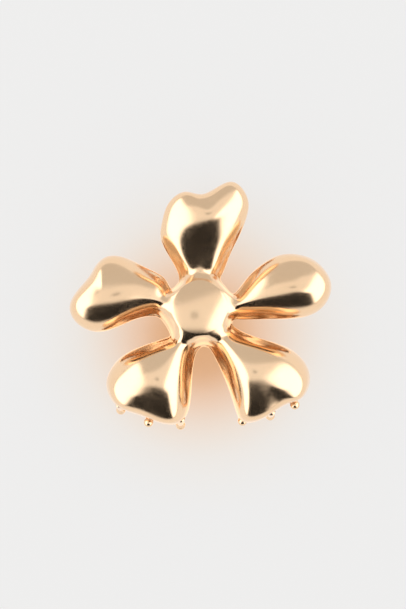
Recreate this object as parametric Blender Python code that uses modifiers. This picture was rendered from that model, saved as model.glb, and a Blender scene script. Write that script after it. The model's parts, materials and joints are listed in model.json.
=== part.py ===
"""A flower claw clip: two cast flower jaws on a riveted hinge pin, held shut by a torsion spring.

The clip lies on its back jaw. +Z points out of the front flower, -Y runs toward the teeth, and +Y
toward the two top petals, which are the thumb and finger pads. The hinge axis runs along X, midway
between the two flowers. Design lengths are in millimetres and become metres when a mesh is made.
"""
import math

import bmesh
import bpy
import numpy as np
from mathutils import Matrix, Vector

MM = 0.001
NAME = "flower_claw_clip"
WELD = 1e-6                # points nearer than this many metres are one

FRONT_GOLD = (0.95, 0.70, 0.46)
BACK_GOLD = (0.93, 0.68, 0.44)
GOLD_ROUGHNESS = 0.15
PIN_STEEL = (0.72, 0.60, 0.45)
PIN_ROUGHNESS = 0.25
SPRING_STEEL = (0.55, 0.55, 0.56)
SPRING_ROUGHNESS = 0.3

# heights are measured from the hinge plane, which lies midway between the two flowers
HALF_DEPTH = 17.6          # hinge plane to the highest petal crest
BAND = 2.0                 # height of the upright rim round the flower
WALL = 1.2                 # wall thickness of the castings
RINGS = 4                  # rows of points from the rim to a petal's inner slope

# centre boss
DOME_TOP = 16.0
DOME_CAP = 20.0            # radius of the sphere the boss's face is cut from
DOME_PEAK = (-1.35, -2.0)  # its peak is a little to one side
BOSS_EDGE = 9.2
BOSS_STEP = 0.7            # least gap between the wall's top and the boss's edge
BOSS_RINGS = [(1.0, 0.3), (0.80, 0.0), (0.60, 0.0)]    # share of the boss's radius, and drop at a notch

# the flower is a little lopsided, so the whole clip shifts by this to stand centred on the origin
SHIFT_X = -0.4
SHIFT_Y = -0.7

# hinge
HINGE_Y = 2.5
PIN_RADIUS = 0.9
BORE_RADIUS = 1.0
BORE_REACH = 8.0
LUG_RADIUS = 2.8
TRIM_DEPTH = 8.0           # how far beyond the hinge plane the trimming shape reaches
LUG_TOP = 18.0             # a lug reaches up past the boss's wall, which trims it
LUG_FLARE = 0.9            # how much wider it is at the top, toward the teeth
INNER_LUG = (3.9, 5.1)     # the front jaw's two lugs, each side of the spring
OUTER_LUG = (5.4, 6.6)     # the back jaw's two lugs, outside them
HEAD_GAP = 0.3
HEAD_RADIUS = 1.6
HEAD_THICK = 0.7
HEAD_ROUND = 0.35
ROUND_STEPS = 24

# spring
WIRE_RADIUS = 0.45
WIRE_BEVEL = 2             # a curve's bevel resolution
COIL_RADIUS = 2.2
COIL_END_X = 2.8
COIL_WRAPS = 6
COIL_STEPS = 14            # points for each turn
LEG_ANGLE = 36.0
LEG_LENGTH = 15.0
LEG_BEND = (2.8, 6.2)      # where along a leg it leans in toward the middle of the top petals
FOOT_X = 1.0

# teeth: x and y of each ball tip, and y of the root on the rim
TIP_BALL = 1.3
TIP_REACH = 3.4            # how far a tip stands beyond the hinge plane
TOOTH_STEPS = 5
BALL_STEPS = 8
BALL_END = math.radians(176.0)    # the ball closes in a small flat
ROOT_RADIUS = 1.25
NECK_RADIUS = 0.8          # just above the ball
ROOT_RIM = 5.0
TOOTH_ROOT = (0.5, 2.6)    # where a tooth starts inside the rim: inward of its edge, and above it
TOOTH_KNEE = (-0.5, -1.0)  # where it has turned toward its tip
TOOTH_BEVEL = 3
FRONT_TEETH = [(-21.6, -28.0, -26.3), (-5.2, -32.2, -30.3), (19.4, -29.6, -28.4)]
BACK_TEETH = [(-13.9, -31.2, -29.6), (11.7, -30.8, -29.9), (26.0, -26.4, -25.0)]

# notches between the petals: angle, rim's distance from the middle, half its spread in degrees, and width
# of the wall above it
WEB_RIM = 5.5              # lower edge of the rim in the five notches
WEB_HEIGHT = 14.0          # height of the boss's edge above a notch
WEB_FLARE = 0.5
WEBS = [(337.5, 9.6, 5.0, 1.9), (39.0, 9.1, 16.0, 1.1), (136.5, 8.8, 11.0, 1.1), (210.0, 10.3, 14.0, 2.1),
        (276.0, 10.4, 6.0, 2.3)]

# Each petal in its own axes: distance out along the petal, and distance to its left.
# right and left: edge from the notch to the shoulder. lobes: right lobe, notch between, left lobe.
# crest: height of the ridge from the boss outward. rim: lower edge of the rim at the end.
# round: how far the end slopes away as a dome, rather than as a plain side.
PETALS = [
    {"angle": 13.0, "round": 0.45,
     "axis": [(10.6, -1.4), (13.2, -1.1), (16.6, -0.6), (20.2, -0.3), (23.8, -0.2), (27.0, -0.3)],
     "right": [(11.0, -5.8), (16.0, -6.8), (21.5, -8.1), (27.5, -9.0), (33.3, -7.3)],
     "lobes": [(36.7, -1.9), (34.9, 3.8), (31.8, 7.0)],
     "left": [(11.2, 2.2), (14.8, 5.3), (18.5, 7.5), (23.0, 9.1), (27.5, 8.9)],
     "crest": [13.2, 14.0, 14.9, 15.6, 16.1, 16.2], "rim": 6.5},
    {"angle": 86.0, "round": 0.3,
     "axis": [(10.4, 0.3), (12.6, 0.3), (15.8, 0.1), (19.0, -0.3), (22.2, -0.6), (25.2, -0.8)],
     "right": [(10.0, -5.7), (15.5, -7.4), (21.0, -9.8), (26.5, -11.4), (31.2, -11.0)],
     "lobes": [(35.4, -6.0), (30.5, 0.8), (31.5, 6.0)],
     "left": [(9.8, 6.7), (13.5, 9.3), (18.0, 12.0), (22.8, 11.8), (28.0, 10.5)],
     "crest": [12.3, 12.9, 14.0, 15.5, 17.0, 17.6], "rim": 10.6},
    {"angle": 167.0, "round": 0.45,
     "axis": [(10.6, 0.5), (12.8, 0.3), (15.9, 0.2), (19.1, 0.6), (22.3, 1.4), (25.4, 2.0)],
     "right": [(11.0, -5.8), (15.2, -7.1), (19.6, -8.2), (24.3, -9.0), (28.3, -7.8)],
     "lobes": [(30.3, -4.4), (31.3, -1.0), (34.9, 6.0)],
     "left": [(12.0, 4.8), (16.8, 7.1), (22.0, 11.2), (27.0, 13.0), (32.6, 11.2)],
     "crest": [14.2, 14.7, 15.3, 15.9, 16.2, 16.0], "rim": 6.5},
    {"angle": 239.0, "round": 1.0,
     "axis": [(10.8, 0.4), (13.2, 0.1), (16.3, 0.0), (19.5, 0.0), (22.7, 0.1), (25.6, 0.3)],
     "right": [(12.0, -3.8), (16.1, -7.4), (21.5, -11.2), (27.0, -12.3), (31.8, -10.7)],
     "lobes": [(34.7, -5.4), (33.4, 0.6), (32.3, 7.2)],
     "left": [(11.5, 5.5), (16.0, 7.3), (21.0, 10.0), (25.8, 12.0), (29.9, 11.6)],
     "crest": [14.2, 15.2, 16.4, 17.3, 17.6, 16.9], "rim": 5.0},
    {"angle": 309.0, "round": 1.0,
     "axis": [(10.6, -0.3), (13.0, 0.0), (16.3, 0.3), (19.7, 0.5), (23.1, 0.7), (26.4, 0.9)],
     "right": [(10.8, -4.7), (16.0, -5.8), (21.5, -7.4), (27.0, -9.6), (31.9, -10.7)],
     "lobes": [(34.6, -4.8), (35.0, 1.6), (36.9, 5.9)],
     "left": [(12.5, 4.9), (17.5, 8.1), (23.5, 12.0), (29.5, 13.2), (34.6, 11.0)],
     "crest": [13.8, 14.9, 16.3, 17.3, 17.6, 16.9], "rim": 5.0},
]

# section across a petal, rim to crest. neck: inset from the rim, and share of the height reached.
# pad: share of the half width left and share of the height, along the sides and at the outer end.
NECK_SECTION = [(0.0, 0.0), (0.8, 0.14), (1.8, 0.48), (3.2, 0.82)]
NECK_HALF = 5.2            # narrower than this each side, and the insets shrink in step
SIDE_SECTION = [(1.0, 0.0), (0.94, 0.30), (0.74, 0.64), (0.40, 0.90)]
END_SECTION = [(1.0, 0.0), (0.975, 0.34), (0.88, 0.66), (0.45, 0.88)]
# stations along a petal: the neck turns into the pad from PAD_START on, and the sides into the end from
# END_BEFORE stations before its last
PAD_START = 1.0
PAD_LENGTH = 3.0
END_BEFORE = 2.0
END_LENGTH = 1.5


def smooth(t):
    t = min(1.0, max(0.0, t))
    return t * t * (3.0 - 2.0 * t)


def polar(radius, degrees):
    a = math.radians(degrees)
    return radius * math.cos(a), radius * math.sin(a)


def petal_to_flower(petal, point):
    """Turns a point given along and beside a petal into the flower's own x and y."""
    a = math.radians(petal["angle"])
    along, beside = point
    return along * math.cos(a) - beside * math.sin(a), along * math.sin(a) + beside * math.cos(a)


class Cage:
    """Collects the points and four-sided faces of the flower's skin."""

    def __init__(self):
        self.points = []
        self.faces = []

    def add(self, x, y, z):
        self.points.append((x, y, z))
        return len(self.points) - 1

    def strip(self, a, b):
        for i in range(len(a) - 1):
            self.faces.append((a[i], a[i + 1], b[i + 1], b[i]))


def petal_rows(index):
    """Edge points, crest points, heights, rim heights and section blends for each station round a petal."""
    petal = PETALS[index]
    count = len(petal["axis"])
    angle, radius, spread = WEBS[index][:3]
    first = polar(radius + WEB_FLARE, angle + spread)
    angle, radius, spread = WEBS[(index + 1) % 5][:3]
    last = polar(radius + WEB_FLARE, angle - spread)
    edge = [first] + [petal_to_flower(petal, p) for p in petal["right"]]
    edge += [petal_to_flower(petal, p) for p in petal["lobes"]]
    edge += [petal_to_flower(petal, p) for p in reversed(petal["left"])] + [last]
    rows = list(range(count)) + [count - 1] * 3 + list(range(count))[::-1]
    crest = [petal_to_flower(petal, petal["axis"][i]) for i in rows]
    height = [petal["crest"][i] for i in rows]
    stations = list(range(count)) + [count, count + 0.5, count] + list(range(count))[::-1]
    rim = [WEB_RIM + (petal["rim"] - WEB_RIM) * smooth(s / count) for s in stations]
    pad = [smooth((s - PAD_START) / PAD_LENGTH) for s in stations]
    end = [smooth((s - count + END_BEFORE) / END_LENGTH) * petal["round"] for s in stations]
    return edge, crest, height, rim, pad, end


def blend(a, b, share):
    return a + (b - a) * share


def section(j, half_width, pad, end):
    """Share of the half width left, and share of the height, on row j of a petal's section."""
    inset = NECK_SECTION[j][0] * min(1.0, half_width / NECK_HALF)
    neck = (1.0 - inset / half_width, NECK_SECTION[j][1])
    result = []
    for k in range(2):
        full = blend(SIDE_SECTION[j][k], END_SECTION[j][k], end)
        result.append(blend(neck[k], full, pad))
    return result


def petal_cage(cage, index):
    """Adds one petal as U-shaped rows of points from the foot to the crest, and the faces inside the last."""
    edge, crest, height, rim, pad, end = petal_rows(index)
    total = len(edge)
    rows = [[cage.add(*edge[i], rim[i]) for i in range(total)]]
    for j in range(RINGS):
        row = []
        for i in range(total):
            half_width = math.hypot(edge[i][0] - crest[i][0], edge[i][1] - crest[i][1])
            share, rise = section(j, half_width, pad[i], end[i])
            x = blend(crest[i][0], edge[i][0], share)
            y = blend(crest[i][1], edge[i][1], share)
            row.append(cage.add(x, y, blend(rim[i] + BAND, height[i], rise)))
        rows.append(row)
    count = len(PETALS[index]["axis"])
    line = [cage.add(crest[i][0], crest[i][1], height[i]) for i in range(count)]
    inner = rows[-1]
    tip = line[-1]
    cage.strip(inner[:count], line)
    cage.faces.append((inner[count - 1], inner[count], inner[count + 1], tip))
    cage.faces.append((tip, inner[count + 1], inner[count + 2], inner[count + 3]))
    far = list(reversed(inner))[:count]
    cage.strip(line, far)
    return rows, line[0]


def web_cage(cage, index):
    """Adds the column of points up the wall in one notch, from the foot to the boss."""
    angle, radius, _, wall = WEBS[index]
    column = [cage.add(*polar(radius, angle), WEB_RIM)]
    for inset, rise in NECK_SECTION:
        x, y = polar(radius - wall * inset / NECK_SECTION[-1][0], angle)
        column.append(cage.add(x, y, blend(WEB_RIM + BAND, WEB_HEIGHT, rise)))
    return column


def square_loop(nx, ny):
    """Grid positions round the edge of an nx by ny grid, anticlockwise from its lower right corner."""
    loop = [(nx, j) for j in range(ny)]
    loop += [(i, ny) for i in range(nx, 0, -1)]
    loop += [(0, j) for j in range(ny, 0, -1)]
    loop += [(i, 0) for i in range(nx)]
    return loop


def relaxed_grid(nx, ny, edge):
    """Spreads a grid's inner points so that each is the mean of its neighbours. edge gives the outer ones."""
    inner = [(i, j) for i in range(1, nx) for j in range(1, ny)]
    row = {spot: k for k, spot in enumerate(inner)}
    left = np.zeros((len(inner), len(inner)))
    right = np.zeros((len(inner), 2))
    for (i, j), k in row.items():
        left[k, k] = 4.0
        for near in ((i - 1, j), (i + 1, j), (i, j - 1), (i, j + 1)):
            if near in row:
                left[k, row[near]] = -1.0
            else:
                right[k] += edge[near]
    solved = np.linalg.solve(left, right)
    return {spot: solved[k] for spot, k in row.items()}


def boss_cage(cage, ring):
    """Fills the middle with the round boss. ring runs anticlockwise from a notch, round its foot."""
    count = len(ring)
    nx = count // 4
    ny = count // 2 - nx
    lowest = min(cage.points[v][2] for v in ring)
    highest = max(cage.points[v][2] for v in ring)
    rings = [ring]
    for share, drop in BOSS_RINGS:
        row = []
        for v in ring:
            x, y, z = cage.points[v]
            out = math.hypot(x, y)
            radius = share * min(BOSS_EDGE, out - BOSS_STEP)
            x, y = x * radius / out, y * radius / out
            low = drop * (highest - z) / (highest - lowest)
            row.append(cage.add(x, y, dome_height(x, y) - low))
        rings.append(row)
    for a, b in zip(rings, rings[1:]):
        cage.strip(a + a[:1], b + b[:1])
    where = {spot: rings[-1][k] for k, spot in enumerate(square_loop(nx, ny))}
    edge = {spot: np.array(cage.points[v][:2]) for spot, v in where.items()}
    for spot, (x, y) in relaxed_grid(nx, ny, edge).items():
        where[spot] = cage.add(float(x), float(y), dome_height(x, y))
    for i in range(nx):
        for j in range(ny):
            cage.faces.append((where[(i, j)], where[(i + 1, j)], where[(i + 1, j + 1)], where[(i, j + 1)]))


def flower_cage():
    """The outer skin of the front flower, open below: rows that run on from petal to petal, then the boss."""
    cage = Cage()
    loops = [[] for _ in range(RINGS + 1)]
    ring = []
    for index in range(5):
        column = web_cage(cage, index)
        rows, crest_start = petal_cage(cage, index)
        for loop, point, row in zip(loops, column, rows):
            loop.append(point)
            loop.extend(row)
        ring += [column[-1], rows[-1][0], crest_start, rows[-1][-1]]
    for a, b in zip(loops, loops[1:]):
        cage.strip(a + a[:1], b + b[:1])
    boss_cage(cage, ring)
    return cage


def dome_height(x, y):
    """Height of the boss's face, a shallow cap."""
    return DOME_TOP - DOME_CAP + math.sqrt(DOME_CAP ** 2 - (x - DOME_PEAK[0]) ** 2 - (y - DOME_PEAK[1]) ** 2)


def clean_object(name, mesh, collection):
    """Welds a mesh, turns its faces outward and links it as an object."""
    bm = bmesh.new()
    bm.from_mesh(mesh)
    bmesh.ops.remove_doubles(bm, verts=bm.verts, dist=WELD)
    bmesh.ops.recalc_face_normals(bm, faces=bm.faces)
    bm.to_mesh(mesh)
    bm.free()
    obj = bpy.data.objects.new(name, mesh)
    collection.objects.link(obj)
    return obj


def flower_skin(name, side, collection):
    """One flower as an open skin facing outward; side is +1 for the front jaw, -1 for the back."""
    cage = flower_cage()
    mesh = bpy.data.meshes.new(name)
    mesh.from_pydata([in_clip(*point, side) for point in cage.points], [], cage.faces)
    skin = clean_object(name, mesh, collection)
    top = max(mesh.polygons, key=lambda polygon: side * polygon.center.z)
    if side * top.normal.z < 0.0:
        mesh.flip_normals()
    return skin


def filled_flower(side, collection):
    """The space under a flower's skin, closed off far below. It trims the lugs to meet the casting."""
    trim = flower_skin("lug_trim", side, collection)
    bm = bmesh.new()
    bm.from_mesh(trim.data)
    bm.normal_update()
    for v in bm.verts:
        v.co -= v.normal * (0.5 * WALL * MM)
    rim = [e for e in bm.edges if e.is_boundary]
    grown = bmesh.ops.extrude_edge_only(bm, edges=rim)
    for v in grown["geom"]:
        if isinstance(v, bmesh.types.BMVert):
            v.co.z = (HALF_DEPTH - side * TRIM_DEPTH) * MM
    bmesh.ops.holes_fill(bm, edges=[e for e in bm.edges if e.is_boundary], sides=0)
    bmesh.ops.recalc_face_normals(bm, faces=bm.faces)
    bm.to_mesh(trim.data)
    bm.free()
    return trim


def curve_to_mesh(name, curve, turn, collection):
    """Makes a curve an ordinary closed mesh, turned by the matrix turn."""
    holder = bpy.data.objects.new(name + "_path", curve)
    bpy.context.scene.collection.objects.link(holder)
    graph = bpy.context.evaluated_depsgraph_get()
    mesh = bpy.data.meshes.new_from_object(holder.evaluated_get(graph))
    mesh.transform(turn)
    bpy.data.objects.remove(holder, do_unlink=True)
    return clean_object(name, mesh, collection)


def tube(name, path, radii, resolution, collection):
    """A round bar along a path of points in metres, with a radius in millimetres at each point."""
    curve = bpy.data.curves.new(name, "CURVE")
    curve.dimensions = "3D"
    curve.bevel_depth = MM
    curve.bevel_resolution = resolution
    curve.use_fill_caps = True
    spline = curve.splines.new("POLY")
    spline.points.add(len(path) - 1)
    for point, place, radius in zip(spline.points, path, radii):
        point.co = (*place, 1.0)
        point.radius = radius
    return curve_to_mesh(name, curve, Matrix.Identity(4), collection)


def in_clip(x, y, z, side=1):
    """A point given in millimetres from the flower's middle on the hinge plane, in metres."""
    return Vector((x, y, side * z + HALF_DEPTH)) * MM


def rod_x(name, reach, radius, collection):
    """A round rod along the hinge axis, reaching equally to both sides."""
    mesh = bpy.data.meshes.new(name)
    bm = bmesh.new()
    bmesh.ops.create_cone(bm, cap_ends=True, segments=ROUND_STEPS, radius1=radius * MM,
                          radius2=radius * MM, depth=2.0 * reach * MM)
    bm.to_mesh(mesh)
    bm.free()
    rod = bpy.data.objects.new(name, mesh)
    collection.objects.link(rod)
    rod.rotation_euler = (0.0, math.pi / 2.0, 0.0)
    rod.location = in_clip(0.0, HINGE_Y, 0.0)
    return rod


def lug(name, side, near, far, trim, collection):
    """A hinge lug: a flat ear with a round end on the axis, reaching up into the boss."""
    outline = []
    steps = ROUND_STEPS // 2
    for k in range(steps + 1):
        a = math.pi + math.pi * k / steps
        outline.append((HINGE_Y + LUG_RADIUS * math.cos(a), LUG_RADIUS * math.sin(a)))
    outline.append((HINGE_Y + LUG_RADIUS, LUG_TOP))
    outline.append((HINGE_Y - LUG_RADIUS - LUG_FLARE, LUG_TOP))
    curve = bpy.data.curves.new(name, "CURVE")
    curve.dimensions = "2D"
    curve.fill_mode = "BOTH"
    curve.extrude = 0.5 * abs(far - near) * MM
    spline = curve.splines.new("POLY")
    spline.use_cyclic_u = True
    spline.points.add(len(outline) - 1)
    for point, (y, z) in zip(spline.points, outline):
        point.co = (y * MM, (side * z + HALF_DEPTH) * MM, 0.0, 1.0)
    # the outline's x and y become the clip's y and z, and its thickness runs along the hinge
    turn = Matrix(((0.0, 0.0, 1.0), (1.0, 0.0, 0.0), (0.0, 1.0, 0.0))).to_4x4()
    middle = Matrix.Translation((0.5 * (near + far) * MM, 0.0, 0.0))
    ear = curve_to_mesh(name, curve, middle @ turn, collection)
    add_boolean(ear, "trim", "INTERSECT", trim)
    return ear


def tooth(name, side, tip_x, tip_y, root_y, collection):
    """A tapered prong rooted in the rim, with a ball on its tip."""
    root = Vector((tip_x, root_y + TOOTH_ROOT[0], ROOT_RIM + TOOTH_ROOT[1]))
    knee = Vector((tip_x, root_y + TOOTH_KNEE[0], ROOT_RIM + TOOTH_KNEE[1]))
    tip = Vector((tip_x, tip_y, -TIP_REACH))
    last = (tip - knee).normalized()
    neck = math.asin(NECK_RADIUS / TIP_BALL)
    path = []
    radii = []
    for k in range(TOOTH_STEPS):
        t = k / TOOTH_STEPS
        path.append(root * (1 - t) ** 2 + knee * (2 * t * (1 - t)) + tip * t ** 2)
        radii.append(blend(ROOT_RADIUS, NECK_RADIUS, t))
    for k in range(BALL_STEPS + 1):
        a = blend(neck, BALL_END, k / BALL_STEPS)
        path.append(tip - last * (TIP_BALL * math.cos(a)))
        radii.append(TIP_BALL * math.sin(a))
    return tube(name, [in_clip(*p, side) for p in path], radii, TOOTH_BEVEL, collection)


def add_boolean(obj, name, operation, other):
    cut = obj.modifiers.new(name, "BOOLEAN")
    cut.operation = operation
    cut.solver = "EXACT"
    cut.object = other
    other.hide_render = True
    other.display_type = "WIRE"


def metal(name, colour, roughness):
    material = bpy.data.materials.new(name)
    material.use_nodes = True
    shader = material.node_tree.nodes["Principled BSDF"]
    shader.inputs["Base Color"].default_value = (*colour, 1.0)
    shader.inputs["Metallic"].default_value = 1.0
    shader.inputs["Roughness"].default_value = roughness
    material.diffuse_color = (*colour, 1.0)
    return material


def put_origin_on_hinge(obj):
    """Moves an object's origin to the middle of the hinge axis without moving its mesh."""
    pivot = in_clip(0.0, HINGE_Y, 0.0)
    obj.data.transform(Matrix.Translation(-pivot))
    obj.location = pivot


def build_jaw(name, side, lugs, teeth, colour, parts, cutters):
    """One casting: petals, boss, lugs and teeth in a single piece."""
    jaw = flower_skin(name, side, parts)
    wall = jaw.modifiers.new("wall", "SOLIDIFY")
    wall.thickness = WALL * MM
    wall.offset = -1.0
    wall.use_rim = True
    trim = filled_flower(side, cutters)
    for label, sign in (("left", -1.0), ("right", 1.0)):
        ear = lug(f"{name}_{label}_lug", side, sign * lugs[0], sign * lugs[1], trim, cutters)
        add_boolean(jaw, f"{label}_lug", "UNION", ear)
    for k, (tip_x, tip_y, root_y) in enumerate(teeth):
        prong = tooth(f"{name}_tooth_{k}", side, tip_x, tip_y, root_y, cutters)
        add_boolean(jaw, f"tooth_{k}", "UNION", prong)
    add_boolean(jaw, "bore", "DIFFERENCE", rod_x(f"{name}_bore", BORE_REACH, BORE_RADIUS, cutters))
    jaw.data.shade_smooth()
    jaw.data.materials.append(metal(name + "_gold", colour, GOLD_ROUGHNESS))
    return jaw


def build_pin(parts):
    """The hinge pin: a straight shaft with a flattened head on each end, turned about its own Z."""
    half = OUTER_LUG[1] + HEAD_GAP
    top = half + HEAD_THICK
    upper = [(0.0, top), (HEAD_RADIUS - HEAD_ROUND, top), (HEAD_RADIUS, top - HEAD_ROUND),
             (HEAD_RADIUS, half), (PIN_RADIUS, half)]
    profile = upper + [(r, -z) for r, z in reversed(upper)]
    mesh = bpy.data.meshes.new("hinge_pin")
    edges = [(k, k + 1) for k in range(len(profile) - 1)]
    mesh.from_pydata([(r * MM, 0.0, z * MM) for r, z in profile], edges, [])
    pin = bpy.data.objects.new("hinge_pin", mesh)
    parts.objects.link(pin)
    turned = pin.modifiers.new("turned", "SCREW")
    turned.axis = "Z"
    turned.steps = ROUND_STEPS
    turned.render_steps = ROUND_STEPS
    turned.use_merge_vertices = True
    turned.merge_threshold = WELD
    pin.rotation_euler = (0.0, math.pi / 2.0, 0.0)
    pin.location = in_clip(0.0, HINGE_Y, 0.0)
    pin.data.materials.append(metal("hinge_pin_steel", PIN_STEEL, PIN_ROUGHNESS))


def spring_path():
    """Centre line of the torsion spring: front leg, coils round the pin, back leg."""
    leg = math.radians(LEG_ANGLE)
    start = leg + math.pi / 2.0
    sweep = 2.0 * math.pi * COIL_WRAPS - math.pi - 2.0 * leg
    foot_y = HINGE_Y + COIL_RADIUS * math.cos(start)
    foot_z = COIL_RADIUS * math.sin(start)
    arm = []
    for x, out in ((FOOT_X, LEG_LENGTH), (FOOT_X, LEG_BEND[1]), (COIL_END_X, LEG_BEND[0])):
        arm.append((x, foot_y + out * math.cos(leg), foot_z + out * math.sin(leg)))
    coil = []
    steps = COIL_WRAPS * COIL_STEPS
    for k in range(steps + 1):
        t = k / steps
        a = start + sweep * t
        x = blend(-COIL_END_X, COIL_END_X, t)
        coil.append((x, HINGE_Y + COIL_RADIUS * math.cos(a), COIL_RADIUS * math.sin(a)))
    return [(-x, y, z) for x, y, z in arm] + coil + [(x, y, -z) for x, y, z in reversed(arm)]


def build_spring(parts):
    path = [in_clip(*p) for p in spring_path()]
    spring = tube("torsion_spring", path, [WIRE_RADIUS] * len(path), WIRE_BEVEL, parts)
    spring.data.shade_smooth()
    spring.data.materials.append(metal("torsion_spring_steel", SPRING_STEEL, SPRING_ROUGHNESS))


def main():
    for obj in list(bpy.data.objects):
        bpy.data.objects.remove(obj, do_unlink=True)
    parts = bpy.data.collections.new(NAME)
    cutters = bpy.data.collections.new(NAME + "_cutters")
    bpy.context.scene.collection.children.link(parts)
    bpy.context.scene.collection.children.link(cutters)
    front = build_jaw("front_jaw", 1, INNER_LUG, FRONT_TEETH, FRONT_GOLD, parts, cutters)
    put_origin_on_hinge(front)
    build_jaw("back_jaw", -1, OUTER_LUG, BACK_TEETH, BACK_GOLD, parts, cutters)
    build_pin(parts)
    build_spring(parts)
    for obj in bpy.data.objects:
        obj.location += Vector((SHIFT_X * MM, SHIFT_Y * MM, 0.0))


main()
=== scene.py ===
"""The looks of the flower claw clip: mirror-polished rose-gold castings, hinge pin and spring.

Lengths are in millimetres in the flower's own axes and become metres in the frame's axes when a mesh is
made. The flower's middle and the hinge axis are read from the frame.
"""
import json
import math

import bmesh
import bpy
import numpy as np
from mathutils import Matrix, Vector
from mathutils.bvhtree import BVHTree


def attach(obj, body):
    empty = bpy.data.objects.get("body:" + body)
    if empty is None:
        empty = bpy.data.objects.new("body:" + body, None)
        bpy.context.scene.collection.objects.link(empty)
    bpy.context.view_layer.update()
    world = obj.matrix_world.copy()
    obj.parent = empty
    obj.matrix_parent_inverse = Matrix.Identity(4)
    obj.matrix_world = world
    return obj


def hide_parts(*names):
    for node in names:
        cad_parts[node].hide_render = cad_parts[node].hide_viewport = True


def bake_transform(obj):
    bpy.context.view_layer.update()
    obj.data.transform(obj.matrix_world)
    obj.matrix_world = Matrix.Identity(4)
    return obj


MM = 0.001

# the flower, in millimetres: heights are measured from the hinge plane
BAND = 2.0                 # height of the upright rim round the flower
WALL = 1.2
DOME_TOP = 16.0
DOME_CAP = 20.0            # radius of the sphere the boss's face is cut from
DOME_PEAK = (-1.35, -2.0)  # its peak is a little to one side
BOSS_EDGE = 9.2
BOSS_STEP = 0.7            # least gap between the wall's top and the boss's edge
WEB_FLARE = 0.5
BOSS_RINGS = [(1.0, 0.3), (0.80, 0.0), (0.60, 0.0)]    # share of the boss's radius, and drop at a notch
BOSS_TRUE = (7.0, 8.2)     # inside the first radius the face is exactly the cap
WEB_RIM = 5.5
WEB_HEIGHT = 14.0          # height of the boss's edge above a notch
RINGS = 4
HINGE_Y = 2.5
PIN_RADIUS = 0.9
BORE_RADIUS = 1.0
LUG_RADIUS = 2.8
LUG_FLARE = 0.9            # how much wider a lug is at the top, toward the teeth
LUG_STEPS = 20             # points round its lower end, and a third as many up each side
LUG_ROUND = 0.22           # bevel on its edges
LUG_ROUND_STEPS = 3
LUG_ROUND_ANGLE = math.radians(50.0)
INNER_LUG = (3.9, 5.1)     # the front jaw's two lugs, each side of the spring
OUTER_LUG = (5.4, 6.6)     # the back jaw's two lugs, outside them
HEAD_GAP = 0.3
HEAD_RADIUS = 1.6
HEAD_THICK = 0.7
HEAD_LIP = 0.22            # straight edge of a head, and how far below the head the shaft starts to swell
HEAD_DIMPLE = 0.12         # depth of the peening mark in the middle of a head
DIMPLE_START = 0.45        # share of the head's radius where the mark begins
HEAD_EDGE = (0.03, 0.06)   # chamfer under a head's rim: up from its seat, and in from its rim
HEAD_RIM = 0.08            # height above the seat at which the rim is full
NECK_SWELL = 0.02          # the shaft swells by this where it meets a head
DOME_STEPS = 12
DOME_END = math.radians(86.0)    # short of 90, so that the dome ends in a tiny flat
PIN_SIDES = 40
WIRE_RADIUS = 0.45
COIL_RADIUS = 2.2
COIL_END_X = 2.8
COIL_WRAPS = 6
LEG_ANGLE = 36.0
LEG_LENGTH = 15.0
LEG_BEND = (2.8, 6.2)      # where along a leg it leans in toward the middle of the top petals
FOOT_X = 1.0
COIL_STEPS = 40            # points for each turn
BEND_STEPS = 8
BEND_REACH = (1.2, 1.0)    # how far before each bend of a leg its curve starts
WIRE_SIDES = 16
TIP_BALL = 1.3
TIP_REACH = 3.4            # how far a tip stands beyond the hinge plane
ROOT_RIM = 5.0
ROOT_RADIUS = 1.25
TOOTH_TAPER = 0.5          # how much thinner a tooth is at its ball than at its root
TOOTH_ROOT = (0.5, 2.6)    # where a tooth starts inside the rim: inward of its edge, and above it
TOOTH_KNEE = (-0.5, -1.0)  # the point its curve bends toward, measured the same way
TOOTH_STEPS = 14
TOOTH_SIDES = 24
BALL_CLEAR = 1.15          # the horn stops this many ball radii from the ball's middle
BALL_START = 38.0          # degrees round the ball, from the horn
BALL_TURN = 140.0
BALL_STEPS = 12
FRONT_TEETH = [(-21.6, -28.0, -26.3), (-5.2, -32.2, -30.3), (19.4, -29.6, -28.4)]
BACK_TEETH = [(-13.9, -31.2, -29.6), (11.7, -30.8, -29.9), (26.0, -26.4, -25.0)]
# notches between the petals: angle, rim's distance from the middle, half its spread in degrees, and width
# of the wall above it
WEBS = [(337.5, 9.6, 5.0, 1.9), (39.0, 9.1, 16.0, 1.1), (136.5, 8.8, 11.0, 1.1), (210.0, 10.3, 14.0, 2.1),
        (276.0, 10.4, 6.0, 2.3)]

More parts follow.
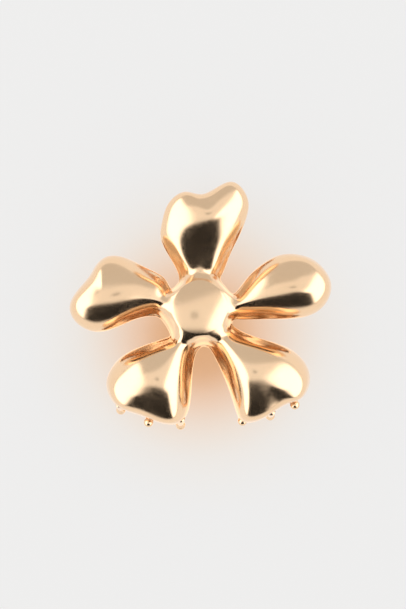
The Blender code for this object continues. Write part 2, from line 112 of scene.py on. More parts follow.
# each petal: the way it points; how far its end takes the fuller end section; points along and beside it
# for its crest line, right edge, end lobes and left edge; its crest's heights; and its rim's height there
PETALS = [
    {"angle": 13.0, "round": 0.45,
     "axis": [(10.6, -1.4), (13.2, -1.1), (16.6, -0.6), (20.2, -0.3), (23.8, -0.2), (27.0, -0.3)],
     "right": [(11.0, -5.8), (16.0, -6.8), (21.5, -8.1), (27.5, -9.0), (33.3, -7.3)],
     "lobes": [(36.7, -1.9), (34.9, 3.8), (31.8, 7.0)],
     "left": [(11.2, 2.2), (14.8, 5.3), (18.5, 7.5), (23.0, 9.1), (27.5, 8.9)],
     "crest": [13.2, 14.0, 14.9, 15.6, 16.1, 16.2], "rim": 6.5},
    {"angle": 86.0, "round": 0.3,
     "axis": [(10.4, 0.3), (12.6, 0.3), (15.8, 0.1), (19.0, -0.3), (22.2, -0.6), (25.2, -0.8)],
     "right": [(10.0, -5.7), (15.5, -7.4), (21.0, -9.8), (26.5, -11.4), (31.2, -11.0)],
     "lobes": [(35.4, -6.0), (30.5, 0.8), (31.5, 6.0)],
     "left": [(9.8, 6.7), (13.5, 9.3), (18.0, 12.0), (22.8, 11.8), (28.0, 10.5)],
     "crest": [12.3, 12.9, 14.0, 15.5, 17.0, 17.6], "rim": 10.6},
    {"angle": 167.0, "round": 0.45,
     "axis": [(10.6, 0.5), (12.8, 0.3), (15.9, 0.2), (19.1, 0.6), (22.3, 1.4), (25.4, 2.0)],
     "right": [(11.0, -5.8), (15.2, -7.1), (19.6, -8.2), (24.3, -9.0), (28.3, -7.8)],
     "lobes": [(30.3, -4.4), (31.3, -1.0), (34.9, 6.0)],
     "left": [(12.0, 4.8), (16.8, 7.1), (22.0, 11.2), (27.0, 13.0), (32.6, 11.2)],
     "crest": [14.2, 14.7, 15.3, 15.9, 16.2, 16.0], "rim": 6.5},
    {"angle": 239.0, "round": 1.0,
     "axis": [(10.8, 0.4), (13.2, 0.1), (16.3, 0.0), (19.5, 0.0), (22.7, 0.1), (25.6, 0.3)],
     "right": [(12.0, -3.8), (16.1, -7.4), (21.5, -11.2), (27.0, -12.3), (31.8, -10.7)],
     "lobes": [(34.7, -5.4), (33.4, 0.6), (32.3, 7.2)],
     "left": [(11.5, 5.5), (16.0, 7.3), (21.0, 10.0), (25.8, 12.0), (29.9, 11.6)],
     "crest": [14.2, 15.2, 16.4, 17.3, 17.6, 16.9], "rim": 5.0},
    {"angle": 309.0, "round": 1.0,
     "axis": [(10.6, -0.3), (13.0, 0.0), (16.3, 0.3), (19.7, 0.5), (23.1, 0.7), (26.4, 0.9)],
     "right": [(10.8, -4.7), (16.0, -5.8), (21.5, -7.4), (27.0, -9.6), (31.9, -10.7)],
     "lobes": [(34.6, -4.8), (35.0, 1.6), (36.9, 5.9)],
     "left": [(12.5, 4.9), (17.5, 8.1), (23.5, 12.0), (29.5, 13.2), (34.6, 11.0)],
     "crest": [13.8, 14.9, 16.3, 17.3, 17.6, 16.9], "rim": 5.0},
]

# section across a petal, rim to crest. neck: inset from the rim, and share of the height reached.
# pad: share of the half width left and share of the height, along the sides and at the outer end.
NECK_SECTION = [(0.0, 0.0), (0.8, 0.14), (1.8, 0.48), (3.2, 0.82)]
NECK_HALF = 5.2            # narrower than this each side, and the insets shrink in step
SIDE_SECTION = [(1.0, 0.0), (0.94, 0.30), (0.74, 0.64), (0.40, 0.90)]
END_SECTION = [(1.0, 0.0), (0.975, 0.34), (0.88, 0.66), (0.45, 0.88)]
# stations along a petal: the neck turns into the pad from PAD_START on, and the sides into the end from
# END_BEFORE stations before its last
PAD_START = 1.0
PAD_LENGTH = 3.0
END_BEFORE = 2.0
END_LENGTH = 1.5
SETTLE = 0.5
SKIN_LEVELS = 3            # Catmull-Clark levels on the castings

# the picture's framing: its height at the petals' edges, and where its middle lies
VIEW_HEIGHT = 165.6
VIEW_MIDDLE = (0.95, 0.95)
CAMERA_HEIGHT = 900.0
SENSOR_HEIGHT = 36.0
CLIP_END = 10.0            # metres

# the table, its size in metres
TABLE_SIZE = 6.0
TABLE_GREY = 0.15
TABLE_ROUGHNESS = 0.9
TABLE_LIGHT = 1.25         # strength of the light all round
TABLE_MIRRORED = 1.13      # how much brighter the metal sees it than the camera does
# painted reflection: a pale lift in the table's colour that only the metal sees, under the flower
PAINTED_REFLECTION_LIFT = (0.65, 0.56, 0.38)    # added to the colour the metal sees, under the flower
PAINTED_REFLECTION_SPAN = (0.30, 0.72)   # where that fades out, as shares of PAINTED_GLOW_REACH
# the painted pool of warm light and shade on the table, darker and more orange under the flower: its middle,
# its reach, and its colour from the middle outward
PAINTED_GLOW_MIDDLE_Y = -8.0
PAINTED_GLOW_REACH = 50.0
PAINTED_GLOW_COLOURS = [(0.20, (0.63, 0.35, 0.18)), (0.32, (0.73, 0.49, 0.34)), (0.48, (0.74, 0.62, 0.52)),
        (0.68, (0.72, 0.70, 0.67)), (1.0, (0.71, 0.71, 0.71))]

# metals: two tones, least and greatest roughness, and scales of the slow and the fine pattern
NOISE_SPAN = (0.3, 0.7)    # the part of a noise texture's range that is used
NOISE_DETAIL = 3.0
GOLD_TONES = ((0.945, 0.657, 0.410), (0.960, 0.687, 0.445))
GOLD_ROUGHNESS = (0.15, 0.21)
GOLD_GRAIN = (60.0, 900.0)
PIN_TONES = ((0.70, 0.56, 0.40), (0.78, 0.66, 0.50))
PIN_ROUGHNESS = (0.22, 0.38)
PIN_GRAIN = (400.0, 2500.0)
SPRING_TONES = ((0.46, 0.46, 0.47), (0.62, 0.61, 0.60))
SPRING_ROUGHNESS = (0.24, 0.42)
SPRING_GRAIN = (250.0, 3000.0)

# the studio that the metal mirrors: the brightness of each zone, and where its soft edge starts and ends.
# Edges are measured on a direction's x, y or z, or for the slanted ones on the sum of x and y times a pair.
PANEL_LIGHT = 1.18         # overhead
BEHIND_LIGHT = 0.82        # a greyer wall at +Y
BEHIND_SLANT = -0.3
BEHIND_EDGE = (0.30, 0.52)
BOX_LIGHT = 2.6            # a softbox each side; the right one stands skew, nearer the front
LEFT_BOX = (-0.98, -0.19)
LEFT_EDGE = (0.42, 0.58)
RIGHT_BOX = (0.92, -0.40)
RIGHT_EDGE = (0.38, 0.52)
OPENING_LIGHT = 0.03       # a dark opening in front, at -Y
OPENING_SIDES = (0.64, 0.46)
OPENING_FRONT = (-0.34, -0.48)
HORIZON_LIGHT = 0.88
HORIZON_EDGE = (0.20, 0.04)
LENS_LIGHT = 0.68          # the camera itself, straight above
LENS_EDGE = (0.993, 0.997)

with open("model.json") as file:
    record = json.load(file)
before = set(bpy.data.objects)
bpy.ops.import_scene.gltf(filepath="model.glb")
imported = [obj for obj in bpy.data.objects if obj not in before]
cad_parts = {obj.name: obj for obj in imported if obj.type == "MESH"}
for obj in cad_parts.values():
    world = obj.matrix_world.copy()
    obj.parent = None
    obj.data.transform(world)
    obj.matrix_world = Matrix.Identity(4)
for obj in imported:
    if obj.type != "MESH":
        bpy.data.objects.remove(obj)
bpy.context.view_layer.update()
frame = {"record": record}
HINGE = frame["record"]["behaviour"]["joints"][0]
MIDDLE = Vector(HINGE["pos_m"]) - Vector((0.0, HINGE_Y * MM, 0.0))


def smooth(t):
    t = min(1.0, max(0.0, t))
    return t * t * (3.0 - 2.0 * t)


def polar(radius, degrees):
    a = math.radians(degrees)
    return radius * math.cos(a), radius * math.sin(a)


def place(x, y, z, side=1):
    """A point given in the flower's axes and millimetres, in the frame."""
    return MIDDLE + Vector((x, y, side * z)) * MM


def petal_to_flower(petal, point):
    """Turns a point given along and beside a petal into the flower's own x and y."""
    a = math.radians(petal["angle"])
    along, beside = point
    return along * math.cos(a) - beside * math.sin(a), along * math.sin(a) + beside * math.cos(a)


class Cage:
    """Collects the points and four-sided faces of the flower's skin."""

    def __init__(self):
        self.points = []
        self.faces = []
        self.boss_start = 0

    def add(self, x, y, z):
        self.points.append((x, y, z))
        return len(self.points) - 1

    def strip(self, a, b):
        for i in range(len(a) - 1):
            self.faces.append((a[i], a[i + 1], b[i + 1], b[i]))


def petal_rows(index):
    """Edge points, crest points, heights, rim heights and section blends for each station round a petal."""
    petal = PETALS[index]
    count = len(petal["axis"])
    angle, radius, spread = WEBS[index][:3]
    first = polar(radius + WEB_FLARE, angle + spread)
    angle, radius, spread = WEBS[(index + 1) % 5][:3]
    last = polar(radius + WEB_FLARE, angle - spread)
    edge = [first] + [petal_to_flower(petal, p) for p in petal["right"]]
    edge += [petal_to_flower(petal, p) for p in petal["lobes"]]
    edge += [petal_to_flower(petal, p) for p in reversed(petal["left"])] + [last]
    rows = list(range(count)) + [count - 1] * 3 + list(range(count))[::-1]
    crest = [petal_to_flower(petal, petal["axis"][i]) for i in rows]
    height = [petal["crest"][i] for i in rows]
    stations = list(range(count)) + [count, count + 0.5, count] + list(range(count))[::-1]
    rim = [WEB_RIM + (petal["rim"] - WEB_RIM) * smooth(s / count) for s in stations]
    pad = [smooth((s - PAD_START) / PAD_LENGTH) for s in stations]
    end = [smooth((s - count + END_BEFORE) / END_LENGTH) * petal["round"] for s in stations]
    return edge, crest, height, rim, pad, end


def blend(a, b, share):
    return a + (b - a) * share


def section(j, half_width, pad, end):
    """Share of the half width left, and share of the height, on row j of a petal's section."""
    inset = NECK_SECTION[j][0] * min(1.0, half_width / NECK_HALF)
    neck = (1.0 - inset / half_width, NECK_SECTION[j][1])
    result = []
    for k in range(2):
        full = blend(SIDE_SECTION[j][k], END_SECTION[j][k], end)
        result.append(blend(neck[k], full, pad))
    return result


def petal_cage(cage, index):
    """Adds one petal as U-shaped rows of points from the foot to the crest, and the faces inside the last."""
    edge, crest, height, rim, pad, end = petal_rows(index)
    total = len(edge)
    rows = [[cage.add(*edge[i], rim[i]) for i in range(total)]]
    for j in range(RINGS):
        row = []
        for i in range(total):
            half_width = math.hypot(edge[i][0] - crest[i][0], edge[i][1] - crest[i][1])
            share, rise = section(j, half_width, pad[i], end[i])
            x = blend(crest[i][0], edge[i][0], share)
            y = blend(crest[i][1], edge[i][1], share)
            row.append(cage.add(x, y, blend(rim[i] + BAND, height[i], rise)))
        rows.append(row)
    count = len(PETALS[index]["axis"])
    line = [cage.add(crest[i][0], crest[i][1], height[i]) for i in range(count)]
    inner = rows[-1]
    tip = line[-1]
    cage.strip(inner[:count], line)
    cage.faces.append((inner[count - 1], inner[count], inner[count + 1], tip))
    cage.faces.append((tip, inner[count + 1], inner[count + 2], inner[count + 3]))
    far = list(reversed(inner))[:count]
    cage.strip(line, far)
    return rows, line[0]


def web_cage(cage, index):
    """Adds the column of points up the wall in one notch, from the foot to the boss."""
    angle, radius, _, wall = WEBS[index]
    column = [cage.add(*polar(radius, angle), WEB_RIM)]
    for inset, rise in NECK_SECTION:
        x, y = polar(radius - wall * inset / NECK_SECTION[-1][0], angle)
        column.append(cage.add(x, y, blend(WEB_RIM + BAND, WEB_HEIGHT, rise)))
    return column


def square_loop(nx, ny):
    """Grid positions round the edge of an nx by ny grid, anticlockwise from its lower right corner."""
    loop = [(nx, j) for j in range(ny)]
    loop += [(i, ny) for i in range(nx, 0, -1)]
    loop += [(0, j) for j in range(ny, 0, -1)]
    loop += [(i, 0) for i in range(nx)]
    return loop


def relaxed_grid(nx, ny, edge):
    """Spreads a grid's inner points so that each is the mean of its neighbours. edge gives the outer ones."""
    inner = [(i, j) for i in range(1, nx) for j in range(1, ny)]
    row = {spot: k for k, spot in enumerate(inner)}
    left = np.zeros((len(inner), len(inner)))
    right = np.zeros((len(inner), 2))
    for (i, j), k in row.items():
        left[k, k] = 4.0
        for near in ((i - 1, j), (i + 1, j), (i, j - 1), (i, j + 1)):
            if near in row:
                left[k, row[near]] = -1.0
            else:
                right[k] += edge[near]
    solved = np.linalg.solve(left, right)
    return {spot: solved[k] for spot, k in row.items()}


def boss_cage(cage, ring):
    """Fills the middle with the round boss. ring runs anticlockwise from a notch, round its foot."""
    count = len(ring)
    nx = count // 4
    ny = count // 2 - nx
    lowest = min(cage.points[v][2] for v in ring)
    highest = max(cage.points[v][2] for v in ring)
    cage.boss_start = len(cage.points)
    rings = [ring]
    for share, drop in BOSS_RINGS:
        row = []
        for v in ring:
            x, y, z = cage.points[v]
            out = math.hypot(x, y)
            radius = share * min(BOSS_EDGE, out - BOSS_STEP)
            x, y = x * radius / out, y * radius / out
            low = drop * (highest - z) / (highest - lowest)
            row.append(cage.add(x, y, dome_height(x, y) - low))
        rings.append(row)
    for a, b in zip(rings, rings[1:]):
        cage.strip(a + a[:1], b + b[:1])
    where = {spot: rings[-1][k] for k, spot in enumerate(square_loop(nx, ny))}
    edge = {spot: np.array(cage.points[v][:2]) for spot, v in where.items()}
    for spot, (x, y) in relaxed_grid(nx, ny, edge).items():
        where[spot] = cage.add(float(x), float(y), dome_height(x, y))
    for i in range(nx):
        for j in range(ny):
            cage.faces.append((where[(i, j)], where[(i + 1, j)], where[(i + 1, j + 1)], where[(i, j + 1)]))


def flower_cage():
    """The outer skin of the front flower, open below: rows that run on from petal to petal, then the boss."""
    cage = Cage()
    loops = [[] for _ in range(RINGS + 1)]
    ring = []
    for index in range(5):
        column = web_cage(cage, index)
        rows, crest_start = petal_cage(cage, index)
        for loop, point, row in zip(loops, column, rows):
            loop.append(point)
            loop.extend(row)
        ring += [column[-1], rows[-1][0], crest_start, rows[-1][-1]]
    for a, b in zip(loops, loops[1:]):
        cage.strip(a + a[:1], b + b[:1])
    boss_cage(cage, ring)
    return cage


def dome_height(x, y):
    """Height of the boss's face, a shallow cap."""
    return DOME_TOP - DOME_CAP + math.sqrt(DOME_CAP ** 2 - (x - DOME_PEAK[0]) ** 2 - (y - DOME_PEAK[1]) ** 2)


def link(obj):
    bpy.context.scene.collection.objects.link(obj)
    return obj


def settle(cage):
    """Moves a cage's points so that its Catmull-Clark surface passes nearer to where they were.

    The boss's own points stay where they are.
    """
    points, faces = cage.points, cage.faces
    count = len(points)
    near = [set() for _ in range(count)]
    across = [[] for _ in range(count)]
    edge_faces = {}
    for face in faces:
        for k in range(4):
            a, b, c = face[k], face[(k + 1) % 4], face[(k + 2) % 4]
            near[a].add(b)
            near[b].add(a)
            across[a].append(c)
            key = (min(a, b), max(a, b))
            edge_faces[key] = edge_faces.get(key, 0) + 1
    rim = [[] for _ in range(count)]
    for (a, b), uses in edge_faces.items():
        if uses == 1:
            rim[a].append(b)
            rim[b].append(a)
    # a point's place on the finished surface as a mix of the cage's points: on an open rim, then inside
    weights = np.zeros((count, count))
    for v in range(count):
        if rim[v]:
            weights[v, v] = 4.0 / 6.0
            for n in rim[v]:
                weights[v, n] = 1.0 / 6.0
        else:
            n = len(near[v])
            total = n * (n + 5.0)
            weights[v, v] = n * n / total
            for w in near[v]:
                weights[v, w] += 4.0 / total
            for w in across[v]:
                weights[v, w] += 1.0 / total
    exact = np.linalg.solve(weights, np.array(points))
    exact[cage.boss_start:] = points[cage.boss_start:]
    return blend(np.array(points), exact, SETTLE)


def build_skin(name, side):
    """One flower's outer skin, subdivided, facing outward."""
    cage = flower_cage()
    settled = settle(cage)
    mesh = bpy.data.meshes.new(name)
    mesh.from_pydata([Vector(p) for p in settled], [], cage.faces)
    skin = link(bpy.data.objects.new(name, mesh))
    subdivide(skin, SKIN_LEVELS)
    for vertex in skin.data.vertices:
        x, y, z = vertex.co
        true = 1.0 - smooth((math.hypot(x, y) - BOSS_TRUE[0]) / (BOSS_TRUE[1] - BOSS_TRUE[0]))
        if true > 0.0:
            z = blend(z, dome_height(x, y), true)
        vertex.co = place(x, y, z, side)
    skin.data.update()
    return skin


def subdivide(obj, levels):
    smoothing = obj.modifiers.new("smooth", "SUBSURF")
    smoothing.levels = levels
    smoothing.render_levels = levels
    apply_modifiers(obj)


def outward(obj, side):
    bm = bmesh.new()
    bm.from_mesh(obj.data)
    top = max(bm.faces, key=lambda f: side * f.calc_center_median().z)
    bm.normal_update()
    if side * top.normal.z < 0.0:
        bmesh.ops.reverse_faces(bm, faces=bm.faces)
    bm.to_mesh(obj.data)
    bm.free()


def shade_smooth(mesh):
    mesh.polygons.foreach_set("use_smooth", [True] * len(mesh.polygons))


def apply_modifiers(obj):
    graph = bpy.context.evaluated_depsgraph_get()
    mesh = bpy.data.meshes.new_from_object(obj.evaluated_get(graph))
    obj.modifiers.clear()
    obj.data = mesh


def build_casting(name, side, body, node):
    """The flower's shell. Returns a search tree of its outer skin, which the lugs reach up to."""
    skin = build_skin(name, side)
    outward(skin, side)
    mesh = skin.data
    tree = BVHTree.FromPolygons([v.co for v in mesh.vertices], [tuple(f.vertices) for f in mesh.polygons])
    wall = skin.modifiers.new("wall", "SOLIDIFY")
    wall.thickness = WALL * MM
    wall.offset = -1.0
    wall.use_rim = True
    apply_modifiers(skin)
    shade_smooth(skin.data)
    skin.data.materials.clear()
    skin.data.materials.append(GOLD)
    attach(skin, body)
    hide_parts(node)
    return tree


def lug_outline():
    """A lug's outline as y and share of the height: round below the axis, flared sides, then the top."""
    points = []
    for k in range(LUG_STEPS + 1):
        a = math.pi + math.pi * k / LUG_STEPS
        points.append((HINGE_Y + LUG_RADIUS * math.cos(a), LUG_RADIUS * math.sin(a), 0.0))
    steps = LUG_STEPS // 3
    front = HINGE_Y - LUG_RADIUS
    back = HINGE_Y + LUG_RADIUS
    points += [(back, 0.0, k / steps) for k in range(1, steps + 1)]
    points += [(blend(back, front - LUG_FLARE, k / steps), 0.0, 1.0) for k in range(1, steps)]
    points += [(front - LUG_FLARE * k / steps, 0.0, k / steps) for k in range(steps, 0, -1)]
    return points


def ceiling(tree, x, y, side):
    """Height of the middle of the shell's wall above a point of the hinge plane."""
    start = place(x, y, 0.0, side)
    hit = tree.ray_cast(start, Vector((0.0, 0.0, side)))[0]
    return side * (hit.z - start.z) / MM - 0.5 * WALL


def build_lug(name, side, near, far, tree, body):
    """A hinge lug: a flat ear round the pin, with a bore, that reaches up into the shell."""
    bm = bmesh.new()
    faces = []
    for x in (near, far):
        outer = []
        inner = []
        for y, z, rise in lug_outline():
            z = blend(z, ceiling(tree, x, y, side), rise)
            outer.append(bm.verts.new(place(x, y, z, side)))
            a = math.atan2(z, y - HINGE_Y)
            bore = (HINGE_Y + BORE_RADIUS * math.cos(a), BORE_RADIUS * math.sin(a))
            inner.append(bm.verts.new(place(x, *bore, side)))
        faces.append((outer, inner))
    (outer_a, inner_a), (outer_b, inner_b) = faces
    count = len(outer_a)
    for k in range(count):
        n = (k + 1) % count
        for a, b in ((outer_a, inner_a), (inner_b, outer_b), (outer_b, outer_a), (inner_a, inner_b)):
            bm.faces.new((a[k], a[n], b[n], b[k]))
    bmesh.ops.recalc_face_normals(bm, faces=bm.faces)
    mesh = bpy.data.meshes.new(name)
    bm.to_mesh(mesh)
    bm.free()
    lug = link(bpy.data.objects.new(name, mesh))
    rounded = lug.modifiers.new("rounded", "BEVEL")
    rounded.width = LUG_ROUND * MM
    rounded.segments = LUG_ROUND_STEPS
    rounded.limit_method = "ANGLE"
    rounded.angle_limit = LUG_ROUND_ANGLE
    apply_modifiers(lug)
    shade_smooth(lug.data)
    lug.data.materials.append(GOLD)
    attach(lug, body)


def sweep(name, path, radii, sides):
    """A round bar along a path, with a radius at each point. The ends close to a point or a flat."""
    bm = bmesh.new()
    path = [Vector(p) for p in path]
    count = len(path)
    tangent = (path[1] - path[0]).normalized()
    helper = Vector((1.0, 0.0, 0.0)) if abs(tangent.x) < 0.9 else Vector((0.0, 1.0, 0.0))
    across = tangent.cross(helper).normalized()
    rings = []
    for i in range(count):
        before = path[max(i - 1, 0)]
        after = path[min(i + 1, count - 1)]
        tangent = (after - before).normalized()
        across = (across - tangent * across.dot(tangent)).normalized()
        up = tangent.cross(across)
        ring = []
        for k in range(sides):
            a = 2.0 * math.pi * k / sides
            ring.append(bm.verts.new(path[i] + (across * math.cos(a) + up * math.sin(a)) * radii[i]))
        rings.append(ring)
    for a, b in zip(rings, rings[1:]):
        for k in range(sides):
            n = (k + 1) % sides
            bm.faces.new((a[k], a[n], b[n], b[k]))
    bm.faces.new(list(reversed(rings[0])))
    bm.faces.new(rings[-1])
    bmesh.ops.recalc_face_normals(bm, faces=bm.faces)
    mesh = bpy.data.meshes.new(name)
    bm.to_mesh(mesh)
    bm.free()
    shade_smooth(mesh)
    return link(bpy.data.objects.new(name, mesh))


def tooth_path(tip_x, tip_y, root_y):
    """Centre line and radii of one tooth: a tapered horn that ends in a ball."""
    root = Vector((tip_x, root_y + TOOTH_ROOT[0], ROOT_RIM + TOOTH_ROOT[1]))
    knee = Vector((tip_x, root_y + TOOTH_KNEE[0], ROOT_RIM + TOOTH_KNEE[1]))
    tip = Vector((tip_x, tip_y, -TIP_REACH))
    path = []
    radii = []
    for k in range(TOOTH_STEPS):
        t = k / TOOTH_STEPS
        path.append(root * (1 - t) ** 2 + knee * (2 * t * (1 - t)) + tip * t ** 2)
        radii.append(ROOT_RADIUS - TOOTH_TAPER * t)
    last = (tip - path[-1]).normalized()
    path = [p for p in path if (p - tip).length > BALL_CLEAR * TIP_BALL]
    radii = radii[:len(path)]
    for k in range(BALL_STEPS + 1):
        a = math.radians(BALL_START + BALL_TURN * k / BALL_STEPS)
        path.append(tip - last * (TIP_BALL * math.cos(a)))
        radii.append(TIP_BALL * math.sin(a))
    return path, radii


def join(name, objects):
    bm = bmesh.new()
    for obj in objects:
        bm.from_mesh(obj.data)
        bpy.data.objects.remove(obj, do_unlink=True)
    mesh = bpy.data.meshes.new(name)
    bm.to_mesh(mesh)
    bm.free()
    return link(bpy.data.objects.new(name, mesh))


def build_teeth(name, side, teeth, body):
    bars = []
    for k, tooth in enumerate(teeth):
        path, radii = tooth_path(*tooth)
        path = [place(*p, side) for p in path]
        bars.append(sweep(f"{name}_{k}", path, [r * MM for r in radii], TOOTH_SIDES))
    piece = join(name, bars)
    piece.data.materials.append(GOLD)
    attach(piece, body)


def build_pin():
    """The hinge pin: a straight shaft, with a peened dome for a head on each end."""
    half = OUTER_LUG[1] + HEAD_GAP
    end = [(half - HEAD_LIP, PIN_RADIUS), (half, PIN_RADIUS + NECK_SWELL),
           (half + HEAD_EDGE[0], HEAD_RADIUS - HEAD_EDGE[1]), (half + HEAD_RIM, HEAD_RADIUS)]
    for k in range(DOME_STEPS + 1):
        a = DOME_END * k / DOME_STEPS
        mark = HEAD_DIMPLE * smooth(1.0 - math.cos(a) / DIMPLE_START)
        height = (HEAD_THICK - HEAD_LIP) * math.sin(a) - mark
        end.append((half + HEAD_LIP + height, HEAD_RADIUS * math.cos(a)))
    profile = [(-x, r) for x, r in reversed(end)] + end
    path = [place(x, HINGE_Y, 0.0) for x, r in profile]
    pin = sweep("rivet_pin", path, [r * MM for x, r in profile], PIN_SIDES)
    pin.data.materials.append(metal("pin_steel", PIN_TONES, PIN_ROUGHNESS, PIN_GRAIN))
    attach(pin, "back")
    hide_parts("hinge_pin")


def rounded_path(points, bends):
    """A path through points, with each inner corner turned into a curve that starts bends[i] before it."""
    path = [points[0]]
    for before, corner, after, reach in zip(points, points[1:], points[2:], bends):
        a = corner + (before - corner).normalized() * reach
        b = corner + (after - corner).normalized() * reach
        for k in range(BEND_STEPS + 1):
            t = k / BEND_STEPS
            path.append(a * (1 - t) ** 2 + corner * (2 * t * (1 - t)) + b * t ** 2)
    return path + [points[-1]]


def spring_leg(sign):
    """Centre line of one leg, from its foot to the coil. sign is 1 for the back leg, -1 for the front one."""
    leg = math.radians(LEG_ANGLE)
    start = leg + math.pi / 2.0
    foot_y = HINGE_Y + COIL_RADIUS * math.cos(start)
    foot_z = COIL_RADIUS * math.sin(start)
    stations = [(FOOT_X, LEG_LENGTH), (FOOT_X, LEG_BEND[1]), (COIL_END_X, LEG_BEND[0]), (COIL_END_X, 0.0)]
    points = [Vector((sign * x, foot_y + out * math.cos(leg), -sign * (foot_z + out * math.sin(leg))))
              for x, out in stations]
    return rounded_path(points, BEND_REACH)


def spring_coil():
    """Centre line of the coils round the pin, from the front leg's end to the back leg's."""
    leg = math.radians(LEG_ANGLE)
    start = leg + math.pi / 2.0
    turn = 2.0 * math.pi * COIL_WRAPS - math.pi - 2.0 * leg
    steps = COIL_WRAPS * COIL_STEPS
    path = []
    for k in range(steps + 1):
        t = k / steps
        a = start + turn * t
        x = blend(-COIL_END_X, COIL_END_X, t)
        path.append(Vector((x, HINGE_Y + COIL_RADIUS * math.cos(a), COIL_RADIUS * math.sin(a))))
    return path


def wire(name, path, material):
    piece = sweep(name, [place(*p) for p in path], [WIRE_RADIUS * MM] * len(path), WIRE_SIDES)
    piece.data.materials.append(material)
    return piece


def build_spring():
    """The torsion spring. Each leg presses on its own jaw, and the coils wind between the two."""
    steel = metal("spring_steel", SPRING_TONES, SPRING_ROUGHNESS, SPRING_GRAIN)
    coil = wire("spring_coil", spring_coil(), steel)
    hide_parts("torsion_spring")
    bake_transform(coil)
    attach(wire("spring_leg_front", spring_leg(-1.0), steel), "front")
    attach(wire("spring_leg_back", spring_leg(1.0), steel), "back")


def metal(name, tones, roughness, grain):
    """Bare or plated metal: tones drift slowly over it, and fine marks vary its roughness.

    grain is how many times finer the slow and the fine pattern are than a metre.
    """
    material = bpy.data.materials.new(name)
    material.use_nodes = True
    nodes = material.node_tree.nodes
    links = material.node_tree.links
    shader = nodes["Principled BSDF"]
    shader.inputs["Metallic"].default_value = 1.0
    where = nodes.new("ShaderNodeTexCoord")
    noises = []
    for scale in grain:
        noise = nodes.new("ShaderNodeTexNoise")
        noise.inputs["Scale"].default_value = scale
        noise.inputs["Detail"].default_value = NOISE_DETAIL
        links.new(where.outputs["Object"], noise.inputs["Vector"])
        noises.append(noise)
    slow, fine = noises
    tone = nodes.new("ShaderNodeValToRGB")
    for stop, position, colour in zip(tone.color_ramp.elements, NOISE_SPAN, tones):
        stop.position = position
        stop.color = (*colour, 1.0)
    links.new(slow.outputs["Fac"], tone.inputs["Fac"])
    links.new(tone.outputs["Color"], shader.inputs["Base Color"])
    rough = nodes.new("ShaderNodeMapRange")
    rough.inputs["From Min"].default_value, rough.inputs["From Max"].default_value = NOISE_SPAN
    rough.inputs["To Min"].default_value, rough.inputs["To Max"].default_value = roughness
    links.new(fine.outputs["Fac"], rough.inputs["Value"])
    links.new(rough.outputs["Result"], shader.inputs["Roughness"])
    return material


def floor():
    """A plain table that glows evenly, with a painted pool of warm light and shade in its glow colour,
    strongest under the flower, in place of the light the polished metal throws on it.
    """
    bpy.ops.mesh.primitive_plane_add(size=TABLE_SIZE, location=(0.0, 0.0, 0.0))
    plane = bpy.context.object
    plane.name = "floor"
    material = bpy.data.materials.new("floor_painted_glow")
    material.use_nodes = True
    nodes = material.node_tree.nodes
    links = material.node_tree.links
    shader = nodes["Principled BSDF"]
    shader.inputs["Base Color"].default_value = (TABLE_GREY, TABLE_GREY, TABLE_GREY, 1.0)
    shader.inputs["Roughness"].default_value = TABLE_ROUGHNESS
    shader.inputs["Specular IOR Level"].default_value = 0.0
    where = nodes.new("ShaderNodeTexCoord")
    reach = nodes.new("ShaderNodeVectorMath")
    reach.operation = "DISTANCE"
    reach.inputs[1].default_value = place(0.0, PAINTED_GLOW_MIDDLE_Y, 0.0)
    flat = nodes.new("ShaderNodeVectorMath")
    flat.operation = "MULTIPLY_ADD"
    flat.inputs[1].default_value = (1.0, 1.0, 0.0)
    flat.inputs[2].default_value = (0.0, 0.0, MIDDLE.z)
    links.new(where.outputs["Object"], flat.inputs[0])
    links.new(flat.outputs["Vector"], reach.inputs[0])
    # painted warm light and shade: the table's glow colour turns darker and more orange toward the middle of
    # the pool under the flower
    painted_pool = nodes.new("ShaderNodeValToRGB")
    ramp = painted_pool.color_ramp
    ramp.interpolation = "B_SPLINE"
    for spot, colour in zip((ramp.elements[0], ramp.elements[1]), (PAINTED_GLOW_COLOURS[0], PAINTED_GLOW_COLOURS[-1])):
        spot.position, spot.color = colour[0], (*colour[1], 1.0)
    for position, colour in PAINTED_GLOW_COLOURS[1:-1]:
        ramp.elements.new(position).color = (*colour, 1.0)
    scale = nodes.new("ShaderNodeMath")
    scale.operation = "DIVIDE"
    scale.inputs[1].default_value = PAINTED_GLOW_REACH * MM
    links.new(reach.outputs["Value"], scale.inputs[0])
    links.new(scale.outputs["Value"], painted_pool.inputs["Fac"])
    # painted reflection: the metal sees the lit table brighter than the camera does, most of all under the
    # flower
    ray = nodes.new("ShaderNodeLightPath")
    paler = nodes.new("ShaderNodeVectorMath")
    paler.operation = "ADD"
    links.new(painted_pool.outputs["Color"], paler.inputs[0])
    # painted reflection: the pale lift that only glossy rays see, fading out away from the flower
    painted_lift = nodes.new("ShaderNodeVectorMath")
    painted_lift.operation = "SCALE"
    painted_lift.inputs[0].default_value = PAINTED_REFLECTION_LIFT
    under = nodes.new("ShaderNodeMapRange")
    under.inputs["From Min"].default_value, under.inputs["From Max"].default_value = PAINTED_REFLECTION_SPAN
    under.inputs["To Max"].default_value = 0.0
    links.new(scale.outputs["Value"], under.inputs["Value"])
    links.new(ray.outputs["Is Glossy Ray"], under.inputs["To Min"])
    links.new(under.outputs["Result"], painted_lift.inputs["Scale"])
    links.new(painted_lift.outputs["Vector"], paler.inputs[1])
    links.new(paler.outputs["Vector"], shader.inputs["Emission Color"])
    strength = nodes.new("ShaderNodeMapRange")
    strength.inputs["To Min"].default_value = 1.0
    strength.inputs["To Max"].default_value = TABLE_MIRRORED
    links.new(ray.outputs["Is Glossy Ray"], strength.inputs["Value"])
    links.new(strength.outputs["Result"], shader.inputs["Emission Strength"])
    plane.data.materials.append(material)


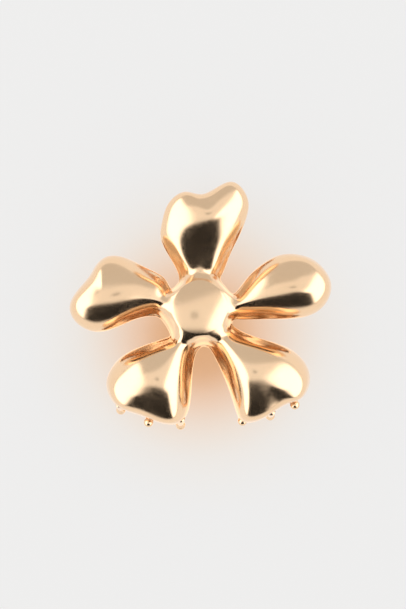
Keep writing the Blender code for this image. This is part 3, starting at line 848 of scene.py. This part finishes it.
class Sky:
    """Builds the studio that the metal mirrors, as soft-edged zones of the world's directions."""

    def __init__(self, tree):
        self.tree = tree
        coordinate = tree.nodes.new("ShaderNodeTexCoord")
        split = tree.nodes.new("ShaderNodeSeparateXYZ")
        tree.links.new(coordinate.outputs["Generated"], split.inputs["Vector"])
        self.x, self.y, self.z = split.outputs["X"], split.outputs["Y"], split.outputs["Z"]

    def math(self, operation, a, b=0.0, c=None):
        node = self.tree.nodes.new("ShaderNodeMath")
        node.operation = operation
        for socket, value in zip(node.inputs, (a, b) if c is None else (a, b, c)):
            if isinstance(value, (int, float)):
                socket.default_value = value
            else:
                self.tree.links.new(value, socket)
        return node.outputs["Value"]

    def slanted(self, shares):
        """The sum of x and y, each times its share."""
        return self.math("MULTIPLY_ADD", self.y, shares[1], self.math("MULTIPLY", self.x, shares[0]))

    def edge(self, value, low, high):
        """0 below low, 1 above high, smooth between. low may be above high."""
        node = self.tree.nodes.new("ShaderNodeMapRange")
        node.interpolation_type = "SMOOTHSTEP"
        node.inputs["From Min"].default_value = low
        node.inputs["From Max"].default_value = high
        self.tree.links.new(value, node.inputs["Value"])
        return node.outputs["Result"]

    def mix(self, low, high, share):
        """low where share is 0, high where it is 1."""
        gap = self.math("SUBTRACT", high, low)
        return self.math("MULTIPLY_ADD", gap, share, low)


def studio():
    world = bpy.data.worlds.new("studio")
    bpy.context.scene.world = world
    world.use_nodes = True
    tree = world.node_tree
    tree.nodes.clear()
    sky = Sky(tree)
    # what the metal mirrors
    behind = sky.math("MULTIPLY_ADD", sky.x, BEHIND_SLANT, sky.y)
    light = sky.mix(PANEL_LIGHT, BEHIND_LIGHT, sky.edge(behind, *BEHIND_EDGE))
    left = sky.slanted(LEFT_BOX)
    right = sky.slanted(RIGHT_BOX)
    boxes = sky.math("MAXIMUM", sky.edge(left, *LEFT_EDGE), sky.edge(right, *RIGHT_EDGE))
    light = sky.mix(light, BOX_LIGHT, boxes)
    opening = sky.edge(sky.math("ABSOLUTE", sky.x), *OPENING_SIDES)
    opening = sky.math("MULTIPLY", opening, sky.edge(sky.y, *OPENING_FRONT))
    light = sky.mix(light, OPENING_LIGHT, opening)
    light = sky.mix(light, HORIZON_LIGHT, sky.edge(sky.z, *HORIZON_EDGE))
    light = sky.mix(light, LENS_LIGHT, sky.edge(sky.z, *LENS_EDGE))
    mirrored = tree.nodes.new("ShaderNodeBackground")
    tree.links.new(light, mirrored.inputs["Strength"])
    # what lights the table and fills the picture behind it
    plain = tree.nodes.new("ShaderNodeBackground")
    plain.inputs["Strength"].default_value = TABLE_LIGHT
    ray = tree.nodes.new("ShaderNodeLightPath")
    mix = tree.nodes.new("ShaderNodeMixShader")
    tree.links.new(ray.outputs["Is Glossy Ray"], mix.inputs["Fac"])
    tree.links.new(plain.outputs["Background"], mix.inputs[1])
    tree.links.new(mirrored.outputs["Background"], mix.inputs[2])
    output = tree.nodes.new("ShaderNodeOutputWorld")
    tree.links.new(mix.outputs["Shader"], output.inputs["Surface"])
    world.cycles.sampling_method = "NONE"


def camera():
    data = bpy.data.cameras.new("camera")
    obj = link(bpy.data.objects.new("camera", data))
    data.sensor_fit = "VERTICAL"
    data.sensor_height = SENSOR_HEIGHT
    data.lens = data.sensor_height * CAMERA_HEIGHT / VIEW_HEIGHT
    obj.location = place(VIEW_MIDDLE[0], VIEW_MIDDLE[1], WEB_RIM + CAMERA_HEIGHT)
    data.clip_end = CLIP_END
    bpy.context.scene.camera = obj


def build_jaw(body, side, lugs, teeth):
    """One jaw: its shell, its two lugs and its teeth."""
    node = body + "_jaw"
    tree = build_casting(body + "_casting", side, body, node)
    for label, sign in (("left", -1.0), ("right", 1.0)):
        build_lug(f"{body}_{label}_lug", side, sign * lugs[0], sign * lugs[1], tree, body)
    build_teeth(body + "_teeth", side, teeth, body)


GOLD = metal("rose_gold", GOLD_TONES, GOLD_ROUGHNESS, GOLD_GRAIN)
build_jaw("front", 1, INNER_LUG, FRONT_TEETH)
build_jaw("back", -1, OUTER_LUG, BACK_TEETH)
build_pin()
build_spring()
floor()
studio()
camera()
bpy.context.scene.view_settings.view_transform = "Standard"
